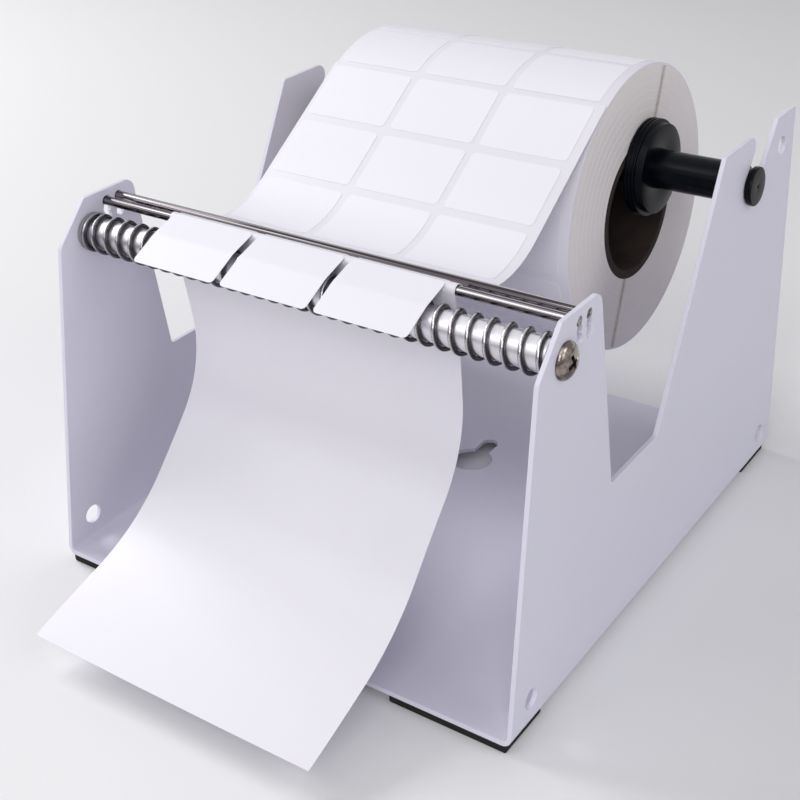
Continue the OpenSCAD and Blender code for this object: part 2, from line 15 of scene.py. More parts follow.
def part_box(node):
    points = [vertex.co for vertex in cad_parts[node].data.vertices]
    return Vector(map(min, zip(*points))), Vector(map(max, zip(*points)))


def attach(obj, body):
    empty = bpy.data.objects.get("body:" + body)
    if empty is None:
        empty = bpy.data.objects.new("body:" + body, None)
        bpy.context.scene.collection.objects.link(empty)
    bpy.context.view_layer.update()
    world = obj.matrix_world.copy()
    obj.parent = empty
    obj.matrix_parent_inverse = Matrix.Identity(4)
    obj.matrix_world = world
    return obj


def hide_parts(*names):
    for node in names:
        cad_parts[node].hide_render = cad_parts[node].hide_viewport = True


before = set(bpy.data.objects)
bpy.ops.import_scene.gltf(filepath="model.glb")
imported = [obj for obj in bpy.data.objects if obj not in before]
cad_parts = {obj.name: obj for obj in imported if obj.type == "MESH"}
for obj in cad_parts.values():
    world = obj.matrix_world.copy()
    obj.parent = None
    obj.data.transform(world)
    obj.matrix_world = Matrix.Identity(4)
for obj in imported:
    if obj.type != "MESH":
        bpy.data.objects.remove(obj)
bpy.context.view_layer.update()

log = logging.getLogger("label_dispenser")

MM = 0.001
# In metres: a radius that counts as 0, corners that are one, and points that are one
ON_AXIS = 1e-9
WELD = 1e-7
SAME_PLACE = 1e-6
CORNER_STEPS = 6
DOME_STEPS = 14
Point2 = tuple[float, float]
Point3 = tuple[float, float, float]
Color = tuple[float, float, float]
Piece = bpy.types.Object
Socket = bpy.types.NodeSocket
EVEN: Point3 = (1.0, 1.0, 1.0)


# ---------------------------------------------------------------- small tools


class Side(Enum):
    """A side of the machine, as the sign of X."""

    LEFT = -1
    RIGHT = 1

    @property
    def word(self) -> str:
        """The side as nodes and pieces name it."""
        return self.name.lower()


class Bench:
    """Short calls for laying out the nodes of one tree."""

    def __init__(self, tree: bpy.types.NodeTree) -> None:
        """Keeps the tree that the nodes go into."""
        self.tree = tree

    def node(self, kind: str, given: dict | None = None, **settings: object) -> bpy.types.Node:
        """Adds a node.

        Args:
            kind: The node's type name.
            given: What goes into its inputs, by their name or place.
            settings: Attributes to set on it.

        Returns:
            The new node.
        """
        made = self.tree.nodes.new(kind)
        for key, value in settings.items():
            setattr(made, key, value)
        self.feed(made, given or {})
        return made

    def feed(self, node: bpy.types.Node, given: dict) -> None:
        """Fills a node's inputs.

        Args:
            node: The node.
            given: A socket to link or a value to set, by the input's name or place.
        """
        for key, value in given.items():
            if isinstance(value, Socket):
                self.tree.links.new(value, node.inputs[key])
            else:
                node.inputs[key].default_value = value

    def math(self, operation: str, first: object, second: object = 0.0) -> Socket:
        """Result of a Math node on two numbers or sockets."""
        return self.node("ShaderNodeMath", {0: first, 1: second}, operation=operation).outputs[0]

    def vector(self, operation: str, given: dict) -> Socket:
        """Result of a Vector Math node on what goes into its inputs."""
        return self.node("ShaderNodeVectorMath", given, operation=operation).outputs[0]

    def own_place(self) -> Socket:
        """The piece's own coordinates."""
        return self.node("ShaderNodeTexCoord").outputs["Object"]

    def noise(self, scale: float, stretch: Point3, detail: float) -> Socket:
        """Adds a noise fixed to the piece.

        Args:
            scale: Features per metre.
            stretch: Share of that scale along each axis.
            detail: How many finer layers it has.

        Returns:
            The noise's socket, from 0 to 1.
        """
        mapping = self.node("ShaderNodeMapping", {"Vector": self.own_place(), "Scale": stretch})
        return self.node("ShaderNodeTexNoise", {
            "Vector": mapping.outputs["Vector"], "Scale": scale, "Detail": detail,
        }).outputs["Fac"]

    def mixed(self, share: Socket, under: object, over: Color) -> Socket:
        """Lays a colour over another.

        Args:
            share: How much of the upper colour there is, from 0 to 1.
            under: The lower colour, or its socket.
            over: The upper colour.

        Returns:
            The colour's socket.
        """
        below = under if isinstance(under, Socket) else (*under, 1.0)
        mix = self.node("ShaderNodeMix", {0: share, 6: below, 7: (*over, 1.0)}, data_type="RGBA")
        return mix.outputs[2]

    def offsets(self, axis: Point2) -> tuple[Socket, Socket]:
        """Places behind and above an axis along X, given by its Y and Z, in metres."""
        place = self.node("ShaderNodeSeparateXYZ", {0: self.own_place()}).outputs
        return tuple(self.math("SUBTRACT", place[way], at) for way, at in zip("YZ", axis))

    def distance_from(self, axis: Point2) -> Socket:
        """Distance from an axis along X, in metres."""
        squares = [self.math("MULTIPLY", off, off) for off in self.offsets(axis)]
        return self.math("SQRT", self.math("ADD", *squares))


def centre_of(node: str) -> Vector:
    """Middle of a CAD node's box."""
    low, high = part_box(node)
    return (low + high) / 2


def radius_of(node: str) -> float:
    """Half the depth of a CAD node that is round about X, rounded to 0.05 mm."""
    low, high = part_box(node)
    step = 0.05 * MM
    return round(max(high.y - low.y, high.z - low.z) / 2 / step) * step


def span(node: str, side: Side = Side.RIGHT) -> Point2:
    """Inner and outer X of a CAD node's box, for a node on one side of the machine."""
    low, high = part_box(node)
    return (low.x, high.x) if side is Side.RIGHT else (high.x, low.x)


def new_object(name: str, data: bpy.types.ID) -> Piece:
    """Puts a mesh, curve, lamp or camera into the scene as an object at the origin."""
    made = bpy.data.objects.new(name, data)
    bpy.context.scene.collection.objects.link(made)
    return made


@contextmanager
def opened(mesh: bpy.types.Mesh) -> Iterator[bmesh.types.BMesh]:
    """Opens a mesh for edits, and writes them back after the last.

    Args:
        mesh: The mesh.

    Yields:
        What the edits work on.
    """
    work = bmesh.new()
    work.from_mesh(mesh)
    yield work
    work.to_mesh(mesh)
    work.free()


def shade(mesh: bpy.types.Mesh, smooth: bool = True) -> None:
    """Shades every face of a mesh smooth or flat."""
    mesh.polygons.foreach_set("use_smooth", [smooth] * len(mesh.polygons))


def piece_from(name: str, points: list, faces: list, smooth: bool = True) -> Piece:
    """Makes a piece from its faces, which are turned outwards.

    Args:
        name: The piece's name.
        points: Its corners.
        faces: Its faces, as indices.
        smooth: Whether it is shaded smooth.

    Returns:
        The piece.
    """
    mesh = bpy.data.meshes.new(name)
    mesh.from_pydata(points, [], faces)
    with opened(mesh) as work:
        bmesh.ops.remove_doubles(work, verts=work.verts, dist=WELD)
        bmesh.ops.recalc_face_normals(work, faces=work.faces)
    shade(mesh, smooth)
    return new_object(name, mesh)


def apply_modifiers(piece: Piece) -> None:
    """Turns what a piece's modifiers make into its own plain mesh, and removes them.

    Args:
        piece: The piece.
    """
    bpy.context.view_layer.update()
    state = bpy.context.evaluated_depsgraph_get()
    made = bpy.data.meshes.new_from_object(piece.evaluated_get(state), depsgraph=state)
    piece.modifiers.clear()
    piece.data = made


def crisp(piece: Piece, angle: float = 35.0) -> None:
    """Marks sharp edges, so that smooth shading stops there.

    Args:
        piece: The piece.
        angle: The least angle of a sharp edge, in degrees.
    """
    with opened(piece.data) as work:
        for edge in work.edges:
            if len(edge.link_faces) == 2 and edge.calc_face_angle(0.0) > math.radians(angle):
                edge.smooth = False


def lathe(name: str, axis: Vector, profile: list[Point2], turns: int = 96) -> Piece:
    """Turns a closed profile about an axis along X.

    Args:
        name: The object's name.
        axis: A point on the axis.
        profile: Points (x, radius) in order round the section. A radius of 0 closes on the axis.
        turns: Number of sides.

    Returns:
        The turned object.
    """
    points: list = []
    rings: list[list[int]] = []
    for x, radius in profile:
        count = 1 if radius < ON_AXIS else turns
        start = len(points)
        for step in range(count):
            a = 2 * math.pi * step / turns
            points.append((x, axis.y + radius * math.cos(a), axis.z + radius * math.sin(a)))
        rings.append([start + (step % count) for step in range(turns)])
    faces: list = []
    solid = profile[0][1] < ON_AXIS and profile[-1][1] < ON_AXIS
    pairs = list(zip(rings, rings[1:])) + ([] if solid else [(rings[-1], rings[0])])
    for near, far in pairs:
        for step in range(turns):
            after = (step + 1) % turns
            face = list(dict.fromkeys((near[step], near[after], far[after], far[step])))
            if len(face) > 2:
                faces.append(face)
    piece = piece_from(name, points, faces)
    crisp(piece)
    return piece


def eased(points: list[Point2], ease: float, steps: int = 4) -> list[Point2]:
    """Rounds the corners of a closed section that lie off the axis.

    Args:
        points: Corners (x, radius) of the section.
        ease: Radius of the rounding.
        steps: Number of segments in each rounding.

    Returns:
        The rounded section.
    """
    side_share = 0.45
    out: list[Point2] = []
    count = len(points)
    for i, here in enumerate(points):
        if here[1] < ON_AXIS:
            out.append(here)
            continue
        b = Vector(here)
        back = Vector(points[i - 1]) - b
        ahead = Vector(points[(i + 1) % count]) - b
        reach = min(ease, back.length * side_share, ahead.length * side_share)
        s, e = b + back.normalized() * reach, b + ahead.normalized() * reach
        for step in range(steps + 1):
            t = step / steps
            p = (1 - t) ** 2 * s + 2 * t * (1 - t) * b + t * t * e
            out.append((p.x, p.y))
    return out


def stepped(bore: float, places: Sequence[float], radii: Sequence[float]) -> list[Point2]:
    """Section of a turned piece whose radius changes in steps.

    Args:
        bore: Radius of its bore, or 0 for a solid piece.
        places: X of its ends and of each step between them.
        radii: Its radius from each place to the next.

    Returns:
        Points (x, radius) in order.
    """
    out = [(places[0], bore)]
    for x0, x1, radius in zip(places, places[1:], radii):
        out += [(x0, radius), (x1, radius)]
    return out + [(places[-1], bore)]


def finish_piece(piece: Piece, finish: "Finish", body: str, *nodes: str) -> None:
    """Gives a piece its finish, puts it on its body and lets it stand for its CAD nodes.

    Args:
        piece: The finished piece.
        finish: Its finish.
        body: The body that it moves with.
        nodes: The CAD nodes that it replaces.
    """
    piece.data.materials.clear()
    piece.data.materials.append(finish.material())
    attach(piece, body)
    if nodes:
        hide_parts(*nodes)
    log.info("%s: %d faces, on %s", piece.name, len(piece.data.polygons), body)


# ---------------------------------------------------------------- finishes


@dataclass(frozen=True)
class Finish:
    """A surface with a soft patchy tint and a fine grain, both fixed to the piece."""

    slot: str
    color: Color
    tint: Color
    roughness: float = 0.5
    roughness_spread: float = 0.06
    metallic: float = 0.0
    coat: float = 0.0
    patch_scale: float = 25.0
    grain_scale: float = 900.0
    grain_stretch: Point3 = EVEN
    grain_depth: float = 0.02 * MM
    grain_strength: float = 0.35
    specular: float = 0.5
    patch_stretch: Point3 = EVEN
    coat_roughness: float = 0.12
    patch_detail: float = 3.0
    grain_detail: float = 2.0

    def material(self) -> bpy.types.Material:
        """Makes the material once, and gives the same one after that.

        Returns:
            The material, named after the slot.
        """
        name = self.slot + "_finish"
        found = bpy.data.materials.get(name)
        if found:
            return found
        made = bpy.data.materials.new(name)
        made.use_nodes = True
        bench = Bench(made.node_tree)
        grain = self.grain(bench)
        spread = bench.math("MULTIPLY", grain, 2 * self.roughness_spread)
        bump = bench.node("ShaderNodeBump", {
            "Strength": self.grain_strength, "Distance": self.grain_depth, "Height": grain,
        })
        bench.feed(made.node_tree.nodes["Principled BSDF"], {
            "Base Color": self.tinted(bench),
            "Roughness": bench.math("ADD", spread, self.roughness - self.roughness_spread),
            "Metallic": self.metallic,
            "Specular IOR Level": self.specular,
            "Coat Weight": self.coat,
            "Coat Roughness": self.coat_roughness,
            "Normal": bump.outputs["Normal"],
        })
        return made

    def patches(self, bench: Bench) -> Socket:
        """Share of the tint, from 0 to 1."""
        return bench.noise(self.patch_scale, self.patch_stretch, self.patch_detail)

    def tinted(self, bench: Bench) -> Socket:
        """Colour of the surface."""
        return bench.mixed(self.patches(bench), self.color, self.tint)

    def grain(self, bench: Bench) -> Socket:
        """Height of the fine grain, from 0 to 1."""
        return bench.noise(self.grain_scale, self.grain_stretch, self.grain_detail)


@dataclass(frozen=True)
class DrawnSteel(Finish):
    """Bright steel with painted reflections: sharp dark and light streaks along it."""

    streak_from: float = 0.38
    streak_to: float = 0.56

    def tinted(self, bench: Bench) -> Socket:
        """Paints reflections as streaks on the steel, with a quick change between the two colours.

        Args:
            bench: Where the nodes go.

        Returns:
            The colour's socket.
        """
        share = bench.node("ShaderNodeMapRange", {
            "Value": self.patches(bench), "From Min": self.streak_from, "From Max": self.streak_to,
        })
        return bench.mixed(share.outputs[0], self.color, self.tint)


@dataclass(frozen=True)
class RubbedWire(Finish):
    """Dark spring wire with a painted highlight along its outer crest, and flanks darkened as
    painted dark reflection.
    """

    axis: Point2 = (0.0, 0.0)
    crest: float = 0.0
    crest_depth: float = 0.15 * MM

    def tinted(self, bench: Bench) -> Socket:
        """Colours the wire, from the dark tint in the flanks (painted dark reflection) to the
        painted highlight colour on the crest.

        Args:
            bench: Where the nodes go.

        Returns:
            The colour's socket.
        """
        # Share of the painted highlight, rising over the band just under the crest
        foot = self.crest - self.crest_depth
        off = bench.math("SUBTRACT", bench.distance_from(self.axis), foot)
        share = bench.math("MAXIMUM", bench.math("DIVIDE", off, self.crest_depth), 0.0)
        return bench.mixed(share, self.tint, self.color)


@dataclass(frozen=True)
class WoundPaper(Finish):
    """Cut edges of many turns of paper, as fine rings about the roll's own axis."""

    axis: Point2 = (0.0, 0.0)
    outside: float = 0.0
    outer_color: Color = (0.8, 0.8, 0.8)
    outer_turns: float = 0.8 * MM
    turn_thickness: float = 0.55 * MM
    ring_detail: float = 4.0
    seam_turn: float = 70.0
    seam_half: float = 1.9 * MM
    seam_color: Color = (0.40, 0.31, 0.28)
    seam_scale: float = 700.0
    seam_least: float = 0.3

    def rings(self, bench: Bench, detail: float) -> Socket:
        """Uneven bands of one turn's thickness, from 0 to 1."""
        turns = bench.math("DIVIDE", bench.distance_from(self.axis), self.turn_thickness)
        return bench.node("ShaderNodeTexNoise", {"W": turns, "Scale": 1.0, "Detail": detail},
                          noise_dimensions="1D").outputs["Fac"]

    def tinted(self, bench: Bench) -> Socket:
        """Gives the rings one patchy seam across the faces, and the outer turn its own colour.

        Args:
            bench: Where the nodes go.

        Returns:
            The colour's socket.
        """
        rings = bench.mixed(self.rings(bench, self.ring_detail), self.color, self.tint)
        a = math.radians(self.seam_turn)
        behind, above = bench.offsets(self.axis)
        off = bench.math("SUBTRACT", bench.math("MULTIPLY", behind, math.sin(a)),
                         bench.math("MULTIPLY", above, math.cos(a)))
        far = bench.math("DIVIDE", bench.math("ABSOLUTE", off), self.seam_half)
        near = bench.math("MAXIMUM", bench.math("SUBTRACT", 1.0, far), 0.0)
        patchy = bench.noise(self.seam_scale, EVEN, self.grain_detail)
        share = bench.math("MULTIPLY", near, bench.math("ADD", patchy, self.seam_least))
        seamed = bench.mixed(share, rings, self.seam_color)
        edge = self.outside - self.outer_turns
        rim = bench.math("GREATER_THAN", bench.distance_from(self.axis), edge)
        return bench.mixed(rim, seamed, self.outer_color)

    def grain(self, bench: Bench) -> Socket:
        """Height of the rings, from 0 to 1."""
        return self.rings(bench, self.grain_detail)


COAT = Finish("frame_coat", (0.775, 0.76, 0.87), (0.75, 0.735, 0.845), 0.42, 0.05,
              grain_scale=1500.0, grain_depth=0.02 * MM, grain_strength=0.3)
RUBBER = Finish("pad_rubber", (0.012, 0.012, 0.012), (0.022, 0.021, 0.020), 0.8, 0.08,
                grain_scale=1200.0, specular=0.2)
AXLE = Finish("axle_steel", (0.55, 0.55, 0.56), (0.45, 0.45, 0.46), 0.3, metallic=1.0)
# Screw heads: the brownish colours and their light and dark patches are painted reflection of a
# wooden table and painted highlights
NICKEL = DrawnSteel("screw_nickel", (0.42, 0.37, 0.33), (0.13, 0.10, 0.09), 0.13, 0.04,
                    metallic=1.0, patch_scale=260.0)
TUBE = Finish("tube_aluminium", (0.77, 0.75, 0.79), (0.63, 0.61, 0.65), 0.36, 0.08, metallic=1.0,
              grain_scale=2500.0, grain_stretch=(1.0, 0.05, 0.05))
BUSH = Finish("bush_grey", (0.24, 0.235, 0.25), (0.19, 0.185, 0.20), 0.45)
# Rods: the light and dark streaks are painted reflections of bright and dark surroundings
ROD = DrawnSteel("rod_steel", (0.50, 0.47, 0.49), (0.06, 0.05, 0.056), 0.12, 0.04, metallic=1.0,
                 patch_scale=1300.0, patch_stretch=(0.004, 1.0, 1.0), grain_scale=1500.0,
                 grain_stretch=(0.03, 1.0, 1.0))
BLACK = Finish("shaft_black", (0.0012, 0.0020, 0.0045), (0.0028, 0.0038, 0.0070), 0.2, 0.05,
               grain_scale=1800.0, specular=0.1)
# The board's near-black colour is painted shade for the inside of the core, not the board's own
# brown
SHADED_BOARD = Finish("core_board", (0.022, 0.015, 0.013), (0.05, 0.037, 0.032), 0.8, grain_scale=700.0,
               patch_scale=200.0, grain_depth=0.06 * MM, specular=0.2)
LABEL = Finish("label_paper", (0.895, 0.885, 0.945), (0.875, 0.865, 0.93), 0.5, 0.05,
               grain_scale=1100.0, grain_depth=0.01 * MM)
LINER = Finish("liner_paper", (0.835, 0.815, 0.88), (0.815, 0.795, 0.86), 0.34, 0.05, coat=0.08,
               grain_scale=500.0, grain_depth=0.01 * MM)


# ---------------------------------------------------------------- the web's path


Station = tuple[Vector, float]


def along(a: float) -> Vector:
    """Unit vector (y, z) of a heading in degrees."""
    return Vector((math.cos(math.radians(a)), math.sin(math.radians(a))))


def left_of(a: float) -> Vector:
    """Unit vector on the left of a heading in degrees."""
    return Vector((-math.sin(math.radians(a)), math.cos(math.radians(a))))


def heading(v: Vector) -> float:
    """Heading of a vector, in degrees from 0 to 360."""
    return math.degrees(math.atan2(v.y, v.x)) % 360


def arc(centre: Vector, radius: float, side: int, a0: float, a1: float,
        steps: int) -> list[Station]:
    """Stations round part of a circle.

    Args:
        centre: The circle's centre.
        radius: Its radius.
        side: 1 where the centre is on the left of the travel, with the path below it, else -1.
        a0: The first heading.
        a1: The last heading.
        steps: Number of segments.

    Returns:
        The stations, each a point and its heading.
    """
    turn = [a0 + (a1 - a0) * i / steps for i in range(steps + 1)]
    return [(centre + side * radius * left_of(a), a) for a in turn]


def tangent_heading(p: Vector, rp: float, sp: int, q: Vector, rq: float, sq: int) -> float:
    """Heading of the straight run from circle p to circle q, by their radii and sides."""
    return heading(q - p) - math.degrees(math.asin((sp * rp - sq * rq) / (q - p).length))


def side_view(node: str) -> Vector:
    """Middle of a CAD node's box in the side view, as (y, z)."""
    return centre_of(node).yz


@dataclass
class WebPath:
    """Route of the web in the side view, from the roll, round the two rods and out at the front."""

    feed_slope: float = 33.5
    sag_turn: float = 15.0
    label_t: float = 0.2 * MM
    liner_t: float = 0.2 * MM
    air: float = 0.3 * MM
    knee_high_back: float = 11.8 * MM
    knee_high_drop: float = 45 * MM
    knee_high_r: float = 40 * MM
    knee_low_y: float = 2 * MM
    knee_low_z: float = 21.2 * MM
    knee_low_r: float = 70 * MM
    tip_ahead: float = 41.5 * MM
    tip_z: float = 6.2 * MM
    foot_t: float = 3 * MM
    peel_turn: float = 207.0
    label_l: float = 22 * MM
    row_gap: float = 3 * MM
    peel_edge: float = 1 * MM
    peel_gap: float = 0.05 * MM
    # The spring's gap and its wire
    spring_height: float = (0.4 + 1.4) * MM
    web_rows: int = 4

    def __post_init__(self) -> None:
        """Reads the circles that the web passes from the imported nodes."""
        self.roll = side_view("roll_core")
        self.roll_r = radius_of("label_roll")
        self.front = side_view("guide_rod_front")
        self.rear = side_view("guide_rod_rear")
        self.rod_r = radius_of("guide_rod_front")
        self.roller = side_view("roller_tube")
        self.spring_r = radius_of("roller_tube") + self.spring_height
        self.lip_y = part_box("side_frame")[0].y
        self.front_r = self.rod_r + self.air + self.liner_t / 2
        self.row_pitch = self.label_l + self.row_gap
        self.feed = 180 + self.feed_slope

    def liner(self) -> list[Station]:
        """Lays out the liner's middle, from a row gap just over the roll to its cut end.

        It also notes where the rows end, which on_roll needs.

        Returns:
            The stations.
        """
        rear_r = self.rod_r + self.air + self.label_t + self.liner_t / 2
        back_r = self.spring_r + self.air + self.liner_t / 2
        leave_r = self.roll_r + self.label_t + self.air + self.liner_t / 2
        leave = self.roll - leave_r * left_of(self.feed)
        a_between = tangent_heading(self.rear, rear_r, 1, self.front, self.front_r, -1)
        a_rear = a_between + self.sag_turn
        sag_cos = math.cos(math.radians(self.feed - a_rear))
        sag_r = ((leave - self.rear).dot(left_of(self.feed)) - rear_r * sag_cos) / (1 - sag_cos)
        sag = self.rear - (sag_r - rear_r) * left_of(a_rear)
        a_behind = tangent_heading(self.front, self.front_r, -1, self.roller, back_r, 1)
        high = self.roller + Vector((self.knee_high_back, -self.knee_high_drop))
        low = Vector((self.lip_y + self.knee_low_y, self.foot_t + self.knee_low_z))
        tip = Vector((self.lip_y - self.tip_ahead, self.foot_t + self.tip_z))
        a_fall = tangent_heading(self.roller, back_r, 1, high, 0, 1)
        a_slope, a_tip = heading(low - high), heading(tip - low)
        high_t = self.knee_high_r * math.tan(math.radians((a_fall - a_slope) / 2))
        low_t = self.knee_low_r * math.tan(math.radians((a_slope - a_tip) / 2))
        high_c = high - high_t * along(a_fall) - self.knee_high_r * left_of(a_fall)
        low_c = low - low_t * along(a_slope) - self.knee_low_r * left_of(a_slope)
        rest = (
            [(leave, self.feed)]
            + arc(sag, sag_r, 1, self.feed, a_rear, steps=40)
            + arc(self.rear, rear_r, 1, a_rear, a_between, steps=8)
            + arc(self.front, self.front_r, -1, a_between, a_behind, steps=40)
            + arc(self.roller, back_r, 1, a_behind, a_fall, steps=10)
            + arc(high_c, self.knee_high_r, 1, a_fall, a_slope, steps=24)
            + arc(low_c, self.knee_low_r, 1, a_slope, a_tip, steps=24)
            + [(tip, a_tip)]
        )
        crest = run_to_heading(rest, 180.0, self.front)
        self.rows_end = crest - self.peel_edge
        # The web starts in the middle of a row gap, which lies just over the roll
        self.over = max(0.0, self.web_rows * self.row_pitch - self.row_gap / 2 - self.rows_end)
        back_turn = math.degrees(self.over / leave_r)
        start = arc(self.roll, leave_r, -1, self.feed - back_turn, self.feed, steps=6)
        self.rows_end += self.over
        return start[:-1] + rest

    def peeled(self) -> list[Station]:
        """Lays out the middle of a peeled label, from the front rod over the spring.

        Returns:
            The stations.
        """
        rod_r = self.rod_r + self.air + self.liner_t + self.peel_gap + self.label_t / 2
        top_r = self.spring_r + self.air + self.label_t / 2
        a_peel = tangent_heading(self.front, rod_r, -1, self.roller, top_r, -1)
        first = self.front - rod_r * left_of(a_peel)
        bend = [(first, a_peel)] + arc(self.roller, top_r, -1, a_peel, self.peel_turn, steps=24)
        left = self.label_l - run_lengths(bend)[-1]
        return bend + [(bend[-1][0] + left * along(self.peel_turn), self.peel_turn)]

    def on_roll(self) -> list[Station]:
        """Stations of the roll's outer turn, back from where the web leaves it."""
        start = self.feed - math.degrees(self.over / self.roll_r)
        return arc(self.roll, self.roll_r, -1, start - 360, start, steps=240)


def run_lengths(path: list[Station]) -> list[float]:
    """Adds up the steps of a path.

    Args:
        path: The path.

    Returns:
        The distance of each station from the first.
    """
    runs = [0.0]
    for (p, _), (q, _) in zip(path, path[1:]):
        runs.append(runs[-1] + (q - p).length)
    return runs


def run_to_heading(path: list[Station], a: float, near: Vector) -> float:
    """Finds where a path has a heading.

    Args:
        path: The path.
        a: The heading.
        near: A point, because the path can have the heading more than once.

    Returns:
        The distance from the first station to the one that fits best.
    """
    degrees_per_mm = 30

    def misfit(place: int) -> float:
        """How badly a station fits both."""
        p, heading_there = path[place]
        return abs(heading_there - a) / degrees_per_mm + (p - near).length / MM

    return run_lengths(path)[min(range(len(path)), key=misfit)]


# ---------------------------------------------------------------- geometry node trees


def new_tree(name: str, numbers: dict[str, str]) -> tuple[Bench, dict[str, Socket]]:
    """Starts a tree that works on a piece with a path and a material.

    Args:
        name: The tree's name.
        numbers: The kinds of its other inputs, by their names.

    Returns:
        Its bench, and its inputs by name.
    """
    tree = bpy.data.node_groups.new(name, "GeometryNodeTree")
    tree.is_modifier = True
    kinds = {"Geometry": "Geometry", "Path": "Object", "Material": "Material", **numbers}
    for label, kind in kinds.items():
        tree.interface.new_socket(name=label, in_out="INPUT", socket_type="NodeSocket" + kind)
    tree.interface.new_socket(name="Geometry", in_out="OUTPUT", socket_type="NodeSocketGeometry")
    bench = Bench(tree)
    outputs = bench.node("NodeGroupInput").outputs
    return bench, {label: outputs[label] for label in kinds}


def paper_tree() -> bpy.types.NodeTree:
    """Tree that repeats a flat piece in rows and columns and bends it along a path.

    Returns:
        The tree. Its flat piece has X across, Y along the path and Z out of the paper.
    """
    found = bpy.data.node_groups.get("paper_on_path")
    if found:
        return found
    bench, given = new_tree("paper_on_path", {
        "Rows": "Int", "Row pitch": "Float", "First row": "Float",
        "Columns": "Int", "Column pitch": "Float", "First column": "Float",
    })
    piece = given["Geometry"]
    for one, axis in (("Row", "Y"), ("Column", "X")):
        start, pitch = (bench.node("ShaderNodeCombineXYZ", {axis: given[name]}).outputs[0]
                        for name in (f"First {one.lower()}", f"{one} pitch"))
        line = bench.node("GeometryNodeMeshLine", {
            "Count": given[f"{one}s"], "Start Location": start, "Offset": pitch,
        }, mode="OFFSET")
        copies = bench.node("GeometryNodeInstanceOnPoints", {
            "Points": line.outputs["Mesh"], "Instance": piece,
        })
        piece = copies.outputs["Instances"]
    flat = bench.node("GeometryNodeRealizeInstances", {0: piece})
    own = bench.node("GeometryNodeInputPosition").outputs[0]
    place = bench.node("ShaderNodeSeparateXYZ", {0: own}).outputs
    route = bench.node("GeometryNodeObjectInfo", {"Object": given["Path"]})
    sample = bench.node("GeometryNodeSampleCurve", {
        "Curves": route.outputs["Geometry"], "Length": place["Y"],
    }, mode="LENGTH").outputs
    out = bench.vector("CROSS_PRODUCT", {0: sample["Tangent"], 1: (1.0, 0.0, 0.0)})
    lift = bench.vector("SCALE", {0: out, "Scale": place["Z"]})
    across = bench.node("ShaderNodeCombineXYZ", {"X": place["X"]}).outputs[0]
    raised = bench.vector("ADD", {0: sample["Position"], 1: lift})
    bend = bench.node("GeometryNodeSetPosition", {
        "Geometry": flat.outputs[0], "Position": bench.vector("ADD", {0: raised, 1: across}),
    })
    return close_tree(bench, bend.outputs[0], given["Material"])


def wire_tree() -> bpy.types.NodeTree:
    """Tree that sweeps a round wire along a path.

    Returns:
        The tree.
    """
    bench, given = new_tree("wire_on_path", {"Wire radius": "Float", "Sides": "Int"})
    route = bench.node("GeometryNodeObjectInfo", {"Object": given["Path"]})
    ring = bench.node("GeometryNodeCurvePrimitiveCircle", {
        "Resolution": given["Sides"], "Radius": given["Wire radius"],
    })
    sweep = bench.node("GeometryNodeCurveToMesh", {
        "Curve": route.outputs["Geometry"], "Profile Curve": ring.outputs[0], "Fill Caps": True,
    })
    return close_tree(bench, sweep.outputs[0], given["Material"])


def close_tree(bench: Bench, shape: Socket, material: Socket) -> bpy.types.NodeTree:
    """Ends a tree in Realize Instances and Set Material.

    Args:
        bench: The tree's bench.
        shape: What the tree has made.
        material: Its material.

    Returns:
        The tree.
    """
    real = bench.node("GeometryNodeRealizeInstances", {0: shape})
    paint = bench.node("GeometryNodeSetMaterial", {
        "Geometry": real.outputs[0], "Material": material,
    })
    bench.node("NodeGroupOutput", {0: paint.outputs[0]})
    return bench.tree


def path_object(name: str, points: list[Vector]) -> Piece:
    """Makes a route for a tree to follow, as a curve of one straight-sided spline.

    Args:
        name: Its name.
        points: Its points.

    Returns:
        The route.
    """
    curve = bpy.data.curves.new(name, "CURVE")
    curve.dimensions = "3D"
    spline = curve.splines.new("POLY")
    spline.points.add(len(points) - 1)
    for place, p in zip(spline.points, points):
        place.co = (*p, 1.0)
    return new_object(name, curve)


def spread_along(piece: Piece, tree: bpy.types.NodeTree, points: list[Vector],
                 **inputs: object) -> None:
    """Runs a tree on a piece with a route, and keeps the result as a plain mesh.

    Args:
        piece: The object that takes the result.
        tree: The tree.
        points: The route.
        inputs: Values by input name, with _ for a space.
    """
    route = path_object(piece.name + "_route", points)
    given = {name.replace("_", " "): value for name, value in inputs.items()} | {"Path": route}
    modifier = piece.modifiers.new("tree", "NODES")
    modifier.node_group = tree
    for item in tree.interface.items_tree:
        if item.item_type == "SOCKET" and item.in_out == "INPUT" and item.name in given:
            modifier[item.identifier] = given[item.name]
    apply_modifiers(piece)
    bpy.data.objects.remove(route)
    shade(piece.data)
    crisp(piece, angle=50.0)


def as_space(path: list[Station]) -> list[Vector]:
    """Lays a side view path out in space, without repeats.

    Args:
        path: The path.

    Returns:
        Its points.
    """
    out: list[Vector] = []
    for p, _ in path:
        q = Vector((0.0, p.x, p.y))
        if not out or (q - out[-1]).length > SAME_PLACE:
            out.append(q)
    return out


